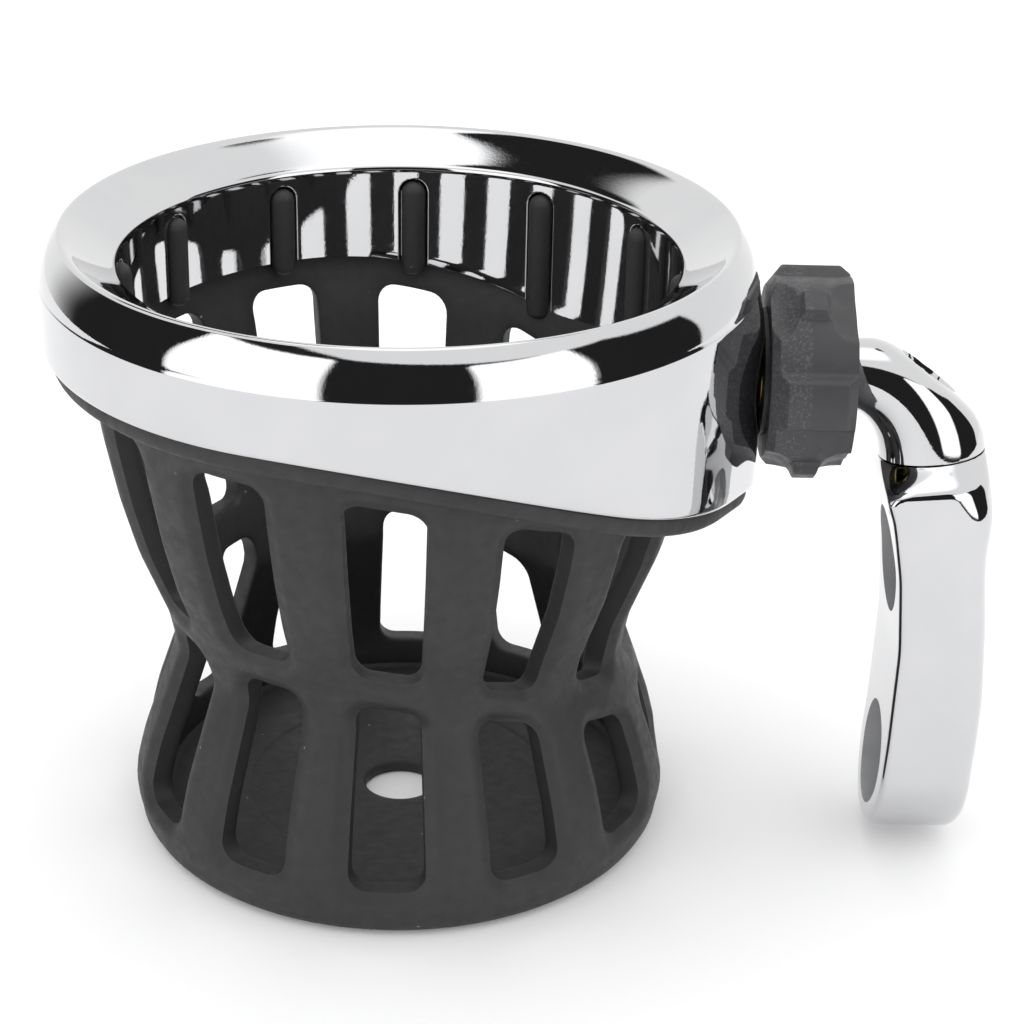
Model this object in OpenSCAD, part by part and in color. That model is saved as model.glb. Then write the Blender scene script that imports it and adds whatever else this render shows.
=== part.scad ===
// Drink holder on a bolt-on swivel arm: a chrome trim ring carries a rubber basket, and a
// cranked chrome arm with a lobed lock knob holds the ring level.
// Frame: origin at the middle of the basket's underside, +Z up, +X towards the arm.

/* [Trim ring] */
// Outer radius of the ring's side wall
ring_r = 55.3; // [55:0.1:55.5]
// Height of the crease between side wall and domed rim
crease_z = 94.8; // [94.3:0.1:95.2]
// Height of the rim's crest
crest_z = 101.6; // [101:0.1:102]
// Radius of the inner wall's face
throat_r = 43.3; // [43.1:0.1:43.5]
// Thickness of the ring's outer wall
ring_wall = 2.2; // [1.8:0.1:2.4]
// Thickness of the ring's inner wall
skirt_wall = 1.6; // [1.4:0.1:1.8]

/* [Lower edge of the ring] */
// Height of the level stretch of the side wall's lower edge
edge_z = 84.8; // [84.4:0.1:85.2]
// Radius of the arc that turns the lower edge down towards the arm
edge_bend_r = 127; // [122:1:132]
// Slope in degrees of the straight stretch that follows the arc
edge_slope = 24.5; // [23:0.5:26]
// Drop from the side wall's lower edge to the inner wall's lower edge
skirt_drop = 3.8; // [3.4:0.1:4.2]

/* [Basket] */
// Windows round the basket in each of its two tiers, and grip ribs in the throat
window_count = 12; // [12]
// Thickness of the basket's rubber wall
wall = 4.6; // [4.2:0.1:5]
// Thickness of the floor
floor_h = 2.6; // [2:0.1:3.2]
// Radius of the drain hole
drain_r = 5.9; // [4:0.1:8]
// Half of an upper window's angle
upper_half = 8; // [7:0.5:9]
// Half of a lower window's angle
lower_half = 9; // [8:0.5:10]
// Half of a grip rib's width
rib_r = 2; // [1.8:0.1:2.2]

/* [Swivel] */
// Height of the swivel axis
axis_z = 78.4; // [78:0.1:78.8]
// Distance from the ring's axis to the boss face
boss_face = 56.2; // [56:0.1:56.4]
// Radius of the pivot stud
stud_r = 4; // [3.8:0.1:4.2]
// Running clearance of the swivel, on the radius
running_gap = 0.05; // [0.02:0.01:0.09]

/* [Lock knob] */
// Radius over the knob's lobes
knob_r = 16.7; // [16:0.1:17.4]
// Width of the knob
knob_w = 13; // [12.6:0.1:13.2]
// Lobes round the knob, full and narrow ones by turns
lobe_count = 6; // [6]
// Depth of the hollows between the lobes
lobe_depth = 1.6; // [1.2:0.1:2]

/* [Arm] */
// Angle by which the arm stands off the vertical, towards -Y
arm_swing = 6; // [6:0.5:9]
// Radius of the elbow where it meets the knob
neck_r = 5.4; // [5.3:0.1:5.6]
// Radius of the elbow at the seam with the bar
seam_r = 8.4; // [8.2:0.1:8.6]
// Width of the bar
bar_w = 25.5; // [25:0.5:26]
// Distance between the two bolt holes
bolt_pitch = 34; // [33.5:0.1:34.5]
// Radius of the bolt holes
bolt_r = 4.2; // [3.3:0.1:4.5]
// Radius of the counterbores for the bolt heads
counterbore_r = 8.6; // [8:0.1:9]
// Depth of the counterbores
counterbore_h = 8; // [6:0.5:9]

/* [Hidden] */
$fn = 64;
gap = 0.15;
big = 200;
chrome = "silver";
rubber = "#333336";
plastic = "#4a4a4d";
steel = "#a8aaad";
brass = "#c9a24b";

step = 360 / window_count;
window_angles = [for (k = [0 : window_count - 1]) k * step];

// Lower edge of the ring in the XZ plane: level, then an arc, then a straight slope
bend_start = -20;
bend_end = bend_start + edge_bend_r * sin(edge_slope);
bend_end_z = edge_z - edge_bend_r * (1 - cos(edge_slope));
edge_pts = concat([[-big, edge_z]],
    [for (k = [0 : 16]) [bend_start + edge_bend_r * sin(edge_slope * k / 16),
        edge_z - edge_bend_r * (1 - cos(edge_slope * k / 16))]],
    [[bend_end + 60, bend_end_z - 60 * tan(edge_slope)]]);

// Boss outline: a narrow flat pad whose rounded corners run into walls tangent to the ring
pad_corner = 20;
pad_half = 5;
pad_x = boss_face - pad_corner;
pad_turn = atan2(pad_half, pad_x) + acos((ring_r - pad_corner) / norm([pad_x, pad_half]));
function pad_side(inset) = concat(
    [(ring_r - inset - 0.6) * [cos(pad_turn + 3), sin(pad_turn + 3)]],
    [for (k = [0 : 10]) [pad_x, pad_half] + (pad_corner - inset)
        * [cos(pad_turn * (1 - k / 10)), sin(pad_turn * (1 - k / 10))]]);
function pad_outline(inset) = concat([[30, 0]], pad_side(inset),
    [for (k = [11 : -1 : 0]) [pad_side(inset)[k].x, -pad_side(inset)[k].y]]);
skirt_r = throat_r + skirt_wall;
boss_half = 11;
boss_back = 49.4;
base_z = 50;
slot_top = 2;
rib_top = 2.2;
rib_foot = 2;

// Section of the rim: a tight outer curve up to the crest, then a funnel down to the throat
crest_r = 51.8;
lip_z = 96.8;
outer_w = ring_r - crest_r;
outer_h = crest_z - crease_z;
funnel_w = crest_r - throat_r;
funnel_h = crest_z - lip_z;
rim_pts = concat(
    [for (k = [0 : 10]) [crest_r + outer_w * cos(9 * k), crease_z + outer_h * sin(9 * k)]],
    [for (k = [1 : 8]) [crest_r - funnel_w * k / 8, crest_z - funnel_h * (k / 8) ^ 1.15]]);
ring_section = concat([[ring_r, base_z]], rim_pts, [[throat_r, base_z], [skirt_r, base_z],
    [skirt_r, crease_z], [crest_r - 1.5, crest_z - 3.4], [crest_r + 0.6, crest_z - 3.2],
    [ring_r - ring_wall, crease_z], [ring_r - ring_wall, base_z]]);

// Basket wall: points of its outer face, from the floor up
wall_pts = [[40.6, 0], [43, 1.4], [44.1, 6], [43.8, 11], [42.3, 17], [38.3, 28.4], [36.7, 33],
    [38, 39.5], [42.5, 51], [44.9, 60], [46.9, 70.4], [48.2, 80], [48.2, 93.4]];
collar_wall = 3;
flange_r = 54.1;
flange_h = 3.3;

// Windows, as drops below the ring's lower edge, and the sill of the lower tier
upper_top = 8.6;
upper_bottom = 41;
lower_top = 46.8;
lower_sill = 7;

// Swivel stack along X
bush_r = stud_r + 2.5;
washer_h = 0.6;
washer_r = 10;
washer_x = boss_face + 0.1;
knob_x = washer_x + washer_h + 0.05;
knob_end = knob_x + knob_w;
recess_h = 3;
neck_x = knob_end - recess_h + 1.4;
stud_tip = 45.8;
stud_end = 76.8;
groove_x = 47;
groove_w = 1;
thrust_h = 1.2;
thrust_r = 8;
clip_r = 6.5;
clip_mouth = 4.8;
insert_r = 6.2;
groove_r = 3.2;
pin_x = 74;
pin_r = 1.25;
pin_half = 5.5;
knob_phase = 3;
tip_w = 4;
flare_r = 4.2;

// Elbow: its middle line is a quarter ellipse, cut short by the lean of the seam
bend_x = 70.9;
bend_z = 64.1;
bend_a = 13.5;
bend_b = axis_z - bend_z;
bend_stop = 82;
seam_x = bend_x + bend_a * sin(bend_stop);
seam_z = bend_z + bend_b * cos(bend_stop);
seam_tilt = atan2(bend_a * cos(bend_stop), bend_b * sin(bend_stop));
facet_x = 82.4;
facet_z = 79;
facet_lean = 37;
bend_rings = 12;
tube_sides = 24;
spigot_r = 5.5;
spigot_h = 9;
screw_r = 2.5;
hex_r = 1.45;
hex_depth = 1.5;
groove_half = 2.8;

// Bar: its inner face is a shallow arc, and its lower end is round about the lower hole
bar_in = 80;
bar_out = 94;
bar_foot = 0.5;
bar_mid_z = 31;
bar_arc_r = 290;
lower_hole_z = bar_w / 2 + 0.9;
upper_hole_z = lower_hole_z + bolt_pitch;
shoulder_z = upper_hole_z + 6;

// All that lies lower than the ring's lower edge when that is moved down by drop
module below_edge(drop) {
    translate([0, big / 2, -drop]) rotate([90, 0, 0]) linear_extrude(big)
        polygon(concat(edge_pts, [[big, -big], [-big, -big]]));
}

// All that lies higher than that edge
module above_edge(drop) {
    translate([0, big / 2, -drop]) rotate([90, 0, 0]) linear_extrude(big)
        polygon(concat(edge_pts, [[big, big], [-big, big]]));
}

module along_x(x, length, r) {
    translate([x, 0, axis_z]) rotate([0, 90, 0]) cylinder(h = length, r = r);
}

// The arm's own parts are drawn upright and swung about the swivel axis
module swung() {
    translate([0, 0, axis_z]) rotate([-arm_swing, 0, 0]) translate([0, 0, -axis_z]) children();
}

// One upright slot or rib with a round top in each window's direction
module ribs(r, x0, x1, low, high) {
    for (a = window_angles) rotate([0, 0, a]) {
        translate([x0, -r, low]) cube([x1 - x0, 2 * r, high - low]);
        translate([x0, 0, high]) rotate([0, 90, 0]) cylinder(h = x1 - x0, r = r, $fn = 32);
    }
}

module trim_ring() {
    color(chrome) difference() {
        union() {
            rotate_extrude($fn = 120) polygon(ring_section);
            difference() {
                translate([0, 0, base_z]) linear_extrude(crease_z - base_z) polygon(pad_outline(0));
                cylinder(h = big, r = ring_r - ring_wall / 2, $fn = 120);
            }
            intersection() {
                translate([boss_back, -boss_half, base_z]) cube([6, 2 * boss_half, crease_z - base_z - 1]);
                cylinder(h = big, r = ring_r - ring_wall / 3, $fn = 120);
            }
        }
        difference() {
            below_edge(0);
            cylinder(h = big, r = skirt_r + 0.2, $fn = 120);
        }
        below_edge(skirt_drop);
        along_x(boss_back - 1, 10, bush_r);
        ribs(rib_r + gap, throat_r - 2, skirt_r + 0.3, base_z, crease_z - slot_top);
    }
}

// Wedges that cut one tier of windows, half degrees to each side of each direction
module wedges(half) {
    for (a = window_angles) rotate([0, 0, a]) linear_extrude(110)
        polygon([[20, -20 * tan(half)], [60, -60 * tan(half)],
            [60, 60 * tan(half)], [20, 20 * tan(half)]]);
}

module basket_wall() {
    hollow = [for (p = wall_pts) if (p.y > 5) [p.x - (p.y > 75 ? collar_wall : wall), p.y]];
    difference() {
        rotate_extrude($fn = 120) polygon(concat(wall_pts,
            [for (k = [len(hollow) - 1 : -1 : 0]) hollow[k]], [[39, floor_h], [0, floor_h], [0, 0]]));
        difference() {
            intersection() {
                wedges(upper_half);
                below_edge(upper_top);
            }
            below_edge(upper_bottom);
        }
        intersection() {
            wedges(lower_half);
            below_edge(lower_top);
            translate([0, 0, lower_sill]) cylinder(h = big, r = big);
        }
        intersection() {
            above_edge(skirt_drop + gap);
            translate([0, 0, 40]) cylinder(h = big, r = skirt_r + gap, $fn = 120);
        }
    }
}

module basket() {
    color(rubber) difference() {
        union() {
            basket_wall();
            difference() {
                translate([0, 0, 45]) linear_extrude(45) {
                    circle(flange_r, $fn = 120);
                    polygon(pad_outline(ring_r - flange_r));
                }
                cylinder(h = 100, r = skirt_r + 0.5, $fn = 120);
                below_edge(flange_h + gap);
                above_edge(gap);
            }
            difference() {
                ribs(rib_r, throat_r - 1.7, skirt_r + 1.6, base_z, crease_z - rib_top);
                below_edge(skirt_drop + rib_foot);
            }
        }
        translate([0, 0, -1]) cylinder(h = 20, r = drain_r);
        difference() {
            translate([boss_back - 4.2, -boss_half - 1, base_z]) cube([20, 2 * boss_half + 2, base_z]);
            below_edge(0);
        }
    }
}

module boss_bush() {
    color(brass) difference() {
        along_x(boss_back, boss_face - boss_back, bush_r);
        along_x(boss_back - 1, 20, stud_r + running_gap);
    }
}

module friction_washer() {
    color(plastic) difference() {
        along_x(washer_x, washer_h, washer_r);
        along_x(washer_x - 1, 10, stud_r + 0.3);
    }
}

// A lobe of the knob in its own plane, top half-angle and flank in degrees
module lobe(half, flank) {
    low = knob_r - lobe_depth - 0.3;
    polygon([[0, 0], low * [cos(half + flank), -sin(half + flank)],
        knob_r * [cos(half), -sin(half)], [knob_r, 0], knob_r * [cos(half), sin(half)],
        low * [cos(half + flank), sin(half + flank)]]);
}

module lock_knob() {
    turn = -90 - knob_phase;
    color(plastic) translate([knob_x, 0, axis_z]) rotate([0, 90, 0]) rotate([0, 0, turn])
    difference() {
        intersection() {
            linear_extrude(knob_w) {
                circle(knob_r - lobe_depth);
                for (k = [0 : lobe_count - 1]) rotate(k * 360 / lobe_count)
                    lobe(k % 2 == 0 ? 11.5 : 6.5, 7);
            }
            rotate_extrude() polygon([[0, 0], [knob_r - 3.2, 0], [knob_r, 2.2],
                [knob_r + 0.1, knob_w - 1], [knob_r - 0.9, knob_w], [0, knob_w]]);
        }
        for (k = [1 : 2 : lobe_count - 1]) rotate([0, 0, k * 360 / lobe_count - 22])
            for (z = [knob_w / 2 - tip_w / 2 - flare_r, knob_w / 2 + tip_w / 2 + flare_r])
                translate([0, 0, z]) rotate_extrude(angle = 44) translate([knob_r + 0.2, 0])
                    circle(flare_r);
        translate([0, 0, -1]) cylinder(h = knob_w + 2, r = insert_r);
    }
}

module knob_insert() {
    color(brass) difference() {
        along_x(knob_x, knob_w - recess_h, insert_r);
        along_x(knob_x - 1, knob_w, stud_r + running_gap);
    }
}

module pivot_stud() {
    color(steel) difference() {
        swung() along_x(stud_tip, stud_end - stud_tip, stud_r);
        difference() {
            along_x(groove_x, groove_w, stud_r + 1);
            along_x(groove_x - 1, groove_w + 2, groove_r);
        }
        swung() cross_pin();
    }
}

module stud_washer() {
    color(steel) difference() {
        along_x(boss_back - 0.1 - thrust_h, thrust_h, thrust_r);
        along_x(boss_back - 5, 10, stud_r + running_gap);
    }
}

module retaining_clip() {
    color(steel) difference() {
        along_x(groove_x + 0.05, groove_w - 0.1, clip_r);
        along_x(groove_x - 1, 4, groove_r + running_gap);
        translate([groove_x - 1, -clip_mouth / 2, axis_z - 10]) cube([4, clip_mouth, 10]);
    }
}

module cross_pin() {
    translate([pin_x, 0, axis_z]) rotate([90, 0, 0]) cylinder(h = 2 * pin_half, r = pin_r, center = true);
}

module stud_pin() {
    color(steel) swung() cross_pin();
}

module at_seam() {
    translate([seam_x, 0, seam_z]) rotate([0, -seam_tilt, 0]) children();
}

// Straight neck, then a horn-shaped tube along the elbow's middle line
module bend_tube() {
    function ring(x, z, lean, r) = [for (k = [0 : tube_sides - 1]) let (t = 360 * k / tube_sides)
        [x + r * cos(t) * sin(lean), r * sin(t), z + r * cos(t) * cos(lean)]];
    points = concat(ring(neck_x, axis_z, 0, neck_r), [for (i = [0 : bend_rings]) let (
            a = bend_stop * i / bend_rings)
        each ring(bend_x + bend_a * sin(a), bend_z + bend_b * cos(a),
            atan2(bend_b * sin(a), bend_a * cos(a)),
            neck_r + (seam_r - neck_r) * sin(a) / sin(bend_stop))]);
    n = tube_sides;
    sides = [for (i = [0 : bend_rings]) for (k = [0 : n - 1])
        [i * n + k, i * n + (k + 1) % n, (i + 1) * n + (k + 1) % n, (i + 1) * n + k]];
    polyhedron(points, concat(sides, [[for (k = [n - 1 : -1 : 0]) k]],
        [[for (k = [0 : n - 1]) (bend_rings + 1) * n + k]]));
}

module elbow() {
    color(chrome) swung() difference() {
        union() {
            bend_tube();
            at_seam() translate([0, 0, -spigot_h]) cylinder(h = spigot_h + 2, r = spigot_r);
        }
        along_x(neck_x - 1, stud_end - neck_x + 1, stud_r);
        cross_pin();
        translate([facet_x, 0, facet_z]) rotate([0, facet_lean, 0])
            translate([-20, -20, 0]) cube([40, 40, 10]);
        at_seam() translate([0, 0, -spigot_h / 2 - groove_half]) difference() {
            cylinder(h = 2 * groove_half, r = spigot_r + 1);
            translate([0, 0, -1]) cylinder(h = 2 * groove_half + 2, r = spigot_r - 0.7);
        }
    }
}

module bar_side() {
    half = bar_w / 2;
    translate([0, lower_hole_z]) circle(half);
    polygon([[-half, lower_hole_z], [-half, shoulder_z], [-seam_r - 0.3, seam_z - 3],
        [seam_r + 0.3, seam_z - 3], [half, shoulder_z], [half, lower_hole_z]]);
}

module bar_profile() {
    polygon(concat([for (k = [0 : 12]) let (z = bar_foot + k * (seam_z - bar_foot - 3) / 12)
        [bar_in - (z - bar_mid_z) ^ 2 / (2 * bar_arc_r), z]],
        [[bar_out - 0.9, seam_z - 3], [bar_out, 56], [bar_out - 0.8, shoulder_z - 4],
        [bar_out - 0.8, 27], [bar_out - 2, bar_foot + 8], [bar_out - 2.6, bar_foot + 3.4]]));
}

module bolt_holes() {
    for (z = [lower_hole_z, upper_hole_z]) translate([0, 0, z]) rotate([0, 90, 0]) {
        cylinder(h = big, r = bolt_r);
        cylinder(h = bar_in + counterbore_h, r = counterbore_r);
    }
}

module set_screw_hole(r, from, to) {
    at_seam() translate([0, from, -spigot_h / 2]) rotate([-90, 0, 0]) cylinder(h = to - from, r = r);
}

module mounting_bar() {
    color(chrome) swung() difference() {
        union() {
            intersection() {
                translate([60, 0, 0]) rotate([90, 0, 90]) linear_extrude(50) bar_side();
                translate([0, 30, 0]) rotate([90, 0, 0]) linear_extrude(60) bar_profile();
            }
            at_seam() translate([0, 0, -14]) cylinder(h = 14 - gap, r = seam_r);
        }
        at_seam() translate([0, 0, -spigot_h - 0.5]) cylinder(h = spigot_h + 2, r = spigot_r + running_gap);
        set_screw_hole(screw_r, 0, 20);
        bolt_holes();
    }
}

module bar_set_screw() {
    color(steel) swung() difference() {
        set_screw_hole(screw_r, spigot_r - 0.5, seam_r - 0.3);
        at_seam() translate([0, seam_r - 0.3 - hex_depth, -spigot_h / 2]) rotate([-90, 0, 0])
            cylinder(h = 5, r = hex_r, $fn = 6);
    }
}

trim_ring();
basket();
boss_bush();
friction_washer();
lock_knob();
knob_insert();
pivot_stud();
stud_washer();
retaining_clip();
stud_pin();
elbow();
mounting_bar();
bar_set_screw();
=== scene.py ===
import bmesh
import bpy
import math
import numpy as np
from mathutils import Matrix, Vector


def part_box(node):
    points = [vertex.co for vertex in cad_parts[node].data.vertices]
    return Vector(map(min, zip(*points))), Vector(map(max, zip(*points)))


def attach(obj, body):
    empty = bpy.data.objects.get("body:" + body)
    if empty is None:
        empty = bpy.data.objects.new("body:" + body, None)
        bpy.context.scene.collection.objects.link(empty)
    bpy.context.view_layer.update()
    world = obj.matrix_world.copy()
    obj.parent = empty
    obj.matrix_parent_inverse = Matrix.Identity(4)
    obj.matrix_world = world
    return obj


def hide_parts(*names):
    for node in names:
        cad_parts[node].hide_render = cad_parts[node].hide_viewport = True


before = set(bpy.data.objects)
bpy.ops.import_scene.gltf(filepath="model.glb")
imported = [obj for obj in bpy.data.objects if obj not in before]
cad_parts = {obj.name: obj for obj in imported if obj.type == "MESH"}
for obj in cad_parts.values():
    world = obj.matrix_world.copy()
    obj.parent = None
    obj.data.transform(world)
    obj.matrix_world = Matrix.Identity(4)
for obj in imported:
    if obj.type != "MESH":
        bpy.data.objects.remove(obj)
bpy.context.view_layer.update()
MM = 0.001

# ---------------------------------------------------------------- camera
TILT = 0.44261
ROLL = 0.02176
CAM_POS = (0.01798, -0.36771, 0.22721)
LENS = 88.70

cam_data = bpy.data.cameras.new("camera")
cam_data.sensor_width = 36.0
cam_data.lens = LENS
cam_data.clip_start = 0.01
cam_data.clip_end = 50
cam = bpy.data.objects.new("camera", cam_data)
bpy.context.scene.collection.objects.link(cam)
cam_right = Vector((1, 0, 0))
cam_up = Vector((0, math.sin(TILT), math.cos(TILT)))
cam_x = math.cos(ROLL) * cam_right + math.sin(ROLL) * cam_up
cam_y = -math.sin(ROLL) * cam_right + math.cos(ROLL) * cam_up
cam_z = cam_x.cross(cam_y)
cam.matrix_world = Matrix.Translation(CAM_POS) @ Matrix((cam_x, cam_y, cam_z)).transposed().to_4x4()
bpy.context.scene.camera = cam


# ---------------------------------------------------------------- materials
def new_material(name, **inputs):
    mat = bpy.data.materials.new(name)
    mat.use_nodes = True
    shader = mat.node_tree.nodes["Principled BSDF"]
    for key, value in inputs.items():
        shader.inputs[key.replace("_", " ")].default_value = value
    return mat, mat.node_tree, shader


def node(tree, kind, **settings):
    n = tree.nodes.new(kind)
    for key, value in settings.items():
        if key in n.inputs:
            n.inputs[key].default_value = value
        else:
            setattr(n, key, value)
    return n


def object_coords(tree):
    return node(tree, "ShaderNodeTexCoord").outputs["Object"]


def noise(tree, scale, detail=3.0, rough=0.55):
    n = node(tree, "ShaderNodeTexNoise", Scale=scale, Detail=detail, Roughness=rough)
    tree.links.new(object_coords(tree), n.inputs["Vector"])
    return n.outputs["Fac"]


def ramp(tree, source, stops):
    r = node(tree, "ShaderNodeValToRGB")
    elements = r.color_ramp.elements
    while len(elements) < len(stops):
        elements.new(0.5)
    for e, (pos, value) in zip(elements, stops):
        e.position = pos
        e.color = (*value, 1) if isinstance(value, tuple) else (value, value, value, 1)
    tree.links.new(source, r.inputs["Fac"])
    return r.outputs["Color"]


def bump(tree, shader, height, strength, distance, below=None):
    b = node(tree, "ShaderNodeBump", Strength=strength, Distance=distance)
    tree.links.new(height, b.inputs["Height"])
    if below is not None:
        tree.links.new(below, b.inputs["Normal"])
    tree.links.new(b.outputs["Normal"], shader.inputs["Normal"])
    return b.outputs["Normal"]


def chrome_material():
    mat, tree, s = new_material("chrome_plate", Metallic=1.0, Roughness=0.03)
    tint = ramp(tree, noise(tree, 60), [(0.35, (0.585, 0.588, 0.597)), (0.65, (0.612, 0.613, 0.62))])
    tree.links.new(tint, s.inputs["Base Color"])
    rough = ramp(tree, noise(tree, 900, 4), [(0.45, 0.015), (0.75, 0.07)])
    bore = node(tree, "ShaderNodeAttribute", attribute_name="bore").outputs["Fac"]
    dull = node(tree, "ShaderNodeMath", operation="MULTIPLY_ADD")
    dull.inputs[1].default_value = 0.2
    tree.links.new(bore, dull.inputs[0])
    tree.links.new(rough, dull.inputs[2])
    tree.links.new(dull.outputs[0], s.inputs["Roughness"])
    tree.links.new(ramp(tree, bore, [(0.0, 1.0), (1.0, 0.55)]), s.inputs["Metallic"])
    waves = bump(tree, s, noise(tree, 45, 1), 0.06, 0.0005)
    bump(tree, s, noise(tree, 2600, 2), 0.05, 0.00004, waves)
    return mat


def rubber_material():
    mat, tree, s = new_material("moulded_rubber", Roughness=0.6)
    stops = [(0.3, (0.0165, 0.0165, 0.0178)), (0.7, (0.0235, 0.0235, 0.025))]
    base = ramp(tree, noise(tree, 35, 5), stops)
    dust = node(tree, "ShaderNodeTexVoronoi", Scale=330.0)
    tree.links.new(object_coords(tree), dust.inputs["Vector"])
    specks = ramp(tree, dust.outputs["Distance"], [(0.05, 1.0), (0.09, 0.0)])
    where = ramp(tree, noise(tree, 160, 2), [(0.6, 0.0), (0.66, 1.0)])
    both = node(tree, "ShaderNodeMath", operation="MULTIPLY")
    tree.links.new(specks, both.inputs[0])
    tree.links.new(where, both.inputs[1])
    mix = node(tree, "ShaderNodeMix", data_type="RGBA")
    tree.links.new(both.outputs[0], mix.inputs["Factor"])
    tree.links.new(base, mix.inputs["A"])
    mix.inputs["B"].default_value = (0.22, 0.22, 0.21, 1)
    tree.links.new(mix.outputs["Result"], s.inputs["Base Color"])
    rough = ramp(tree, noise(tree, 500, 3), [(0.3, 0.5), (0.7, 0.68)])
    tree.links.new(rough, s.inputs["Roughness"])
    soft = bump(tree, s, noise(tree, 120, 2), 0.15, 0.0003)
    bump(tree, s, noise(tree, 3200, 2), 0.3, 0.00006, soft)
    return mat


def knob_material():
    mat, tree, s = new_material("moulded_plastic", Roughness=0.5)
    split = node(tree, "ShaderNodeSeparateXYZ")
    tree.links.new(object_coords(tree), split.inputs[0])
    rough_half = node(tree, "ShaderNodeMapRange")
    rough_half.inputs["From Min"].default_value = KNOB_PART_X * MM + 0.0002
    rough_half.inputs["From Max"].default_value = KNOB_PART_X * MM - 0.0002
    tree.links.new(split.outputs["X"], rough_half.inputs["Value"])
    grain = ramp(tree, noise(tree, 2400, 2), [(0.5, 0.0), (0.68, 1.0)])
    amount = node(tree, "ShaderNodeMath", operation="MULTIPLY")
    tree.links.new(grain, amount.inputs[0])
    tree.links.new(rough_half.outputs["Result"], amount.inputs[1])
    mix = node(tree, "ShaderNodeMix", data_type="RGBA")
    base = ramp(tree, noise(tree, 90, 4), [(0.3, (0.034, 0.034, 0.037)), (0.7, (0.044, 0.044, 0.048))])
    tree.links.new(base, mix.inputs["A"])
    mix.inputs["B"].default_value = (0.085, 0.085, 0.09, 1)
    tree.links.new(amount.outputs[0], mix.inputs["Factor"])
    tree.links.new(mix.outputs["Result"], s.inputs["Base Color"])
    rough = ramp(tree, noise(tree, 700, 3), [(0.3, 0.38), (0.7, 0.56)])
    tree.links.new(rough, s.inputs["Roughness"])
    bump(tree, s, noise(tree, 1800, 3), 0.22, 0.00008)
    return mat


def turned_metal(name, dark, light, rough_low, rough_high):
    mat, tree, s = new_material(name, Metallic=1.0)
    tree.links.new(ramp(tree, noise(tree, 300, 4), [(0.3, dark), (0.7, light)]), s.inputs["Base Color"])
    rings = node(tree, "ShaderNodeTexWave", Scale=900.0, Distortion=1.5)
    rings.bands_direction = "X"
    tree.links.new(object_coords(tree), rings.inputs["Vector"])
    rough = ramp(tree, rings.outputs["Fac"], [(0.0, rough_low), (1.0, rough_high)])
    tree.links.new(rough, s.inputs["Roughness"])
    bump(tree, s, rings.outputs["Fac"], 0.12, 0.00005)
    return mat


def washer_material():
    mat, tree, s = new_material("washer_plastic", Roughness=0.45)
    base = ramp(tree, noise(tree, 250, 3), [(0.3, (0.018, 0.018, 0.019)), (0.7, (0.03, 0.03, 0.031))])
    tree.links.new(base, s.inputs["Base Color"])
    tree.links.new(ramp(tree, noise(tree, 900, 2), [(0.3, 0.35), (0.7, 0.55)]), s.inputs["Roughness"])
    bump(tree, s, noise(tree, 1500, 2), 0.15, 0.00005)
    return mat


KNOB_PART_X = 62.9    # the knob is coarser on the ring's side of this place
CHROME = chrome_material()
RUBBER = rubber_material()
KNOB = knob_material()
BRASS = turned_metal("turned_brass", (0.62, 0.47, 0.2), (0.74, 0.58, 0.28), 0.22, 0.38)
STEEL = turned_metal("turned_steel", (0.42, 0.42, 0.43), (0.56, 0.56, 0.57), 0.2, 0.36)
WASHER = washer_material()

for name, mat in (
    ("boss_bush", BRASS), ("knob_insert", BRASS), ("pivot_stud", STEEL), ("stud_washer", STEEL),
    ("retaining_clip", STEEL), ("stud_pin", STEEL), ("bar_set_screw", STEEL), ("friction_washer", WASHER),
):
    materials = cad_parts[name].data.materials
    materials.clear()
    materials.append(mat)


# ---------------------------------------------------------------- mesh helpers
def mesh_object(name, verts, faces):
    me = bpy.data.meshes.new(name)
    me.from_pydata(verts, [], faces)
    ob = bpy.data.objects.new(name, me)
    bpy.context.scene.collection.objects.link(ob)
    return ob


def piece(name, verts, faces, mat, body, slot, nodes=(), sharp=None):
    me = bpy.data.meshes.new(name)
    me.from_pydata((np.asarray(verts, float) * MM).tolist(), [], [list(map(int, f)) for f in faces])
    me.validate()
    me.materials.append(mat)
    me.polygons.foreach_set("use_smooth", [True] * len(me.polygons))
    if sharp is not None:
        me.set_sharp_from_angle(angle=math.radians(sharp))
    ob = bpy.data.objects.new(name, me)
    bpy.context.scene.collection.objects.link(ob)
    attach(ob, body)
    if nodes:
        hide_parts(*nodes)
    return ob


def grid_faces(rows, cols, wrap_cols=True, wrap_rows=False, start=0, flip=False):
    faces = []
    for i in range(rows if wrap_rows else rows - 1):
        for j in range(cols if wrap_cols else cols - 1):
            a = start + i * cols + j
            b = start + i * cols + (j + 1) % cols
            c = start + ((i + 1) % rows) * cols + (j + 1) % cols
            d = start + ((i + 1) % rows) * cols + j
            faces.append((a, d, c, b) if flip else (a, b, c, d))
    return faces


def smooth01(t):
    t = np.clip(t, 0, 1)
    return t * t * (3 - 2 * t)


# ---------------------------------------------------------------- ring shape, in millimetres
RING_R = 55.28
CREASE_Z = 94.8
CREST_R = 51.9
CREST_Z = 101.58
THROAT_R = 43.3
SLOT_TOP = 92.1       # height of the middle of a slot's round top
SLOT_HALF = 2.15
SKIRT_WALL = 1.6
SKIRT_DROP = 3.8
EDGE_Z = 84.8
EDGE_START = -20.0
EDGE_R = 127.0
EDGE_SLOPE = math.radians(24.5)
PAD_FACE = 56.15
PAD_HALF = 5.0
PAD_CORNER = 20.0


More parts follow.
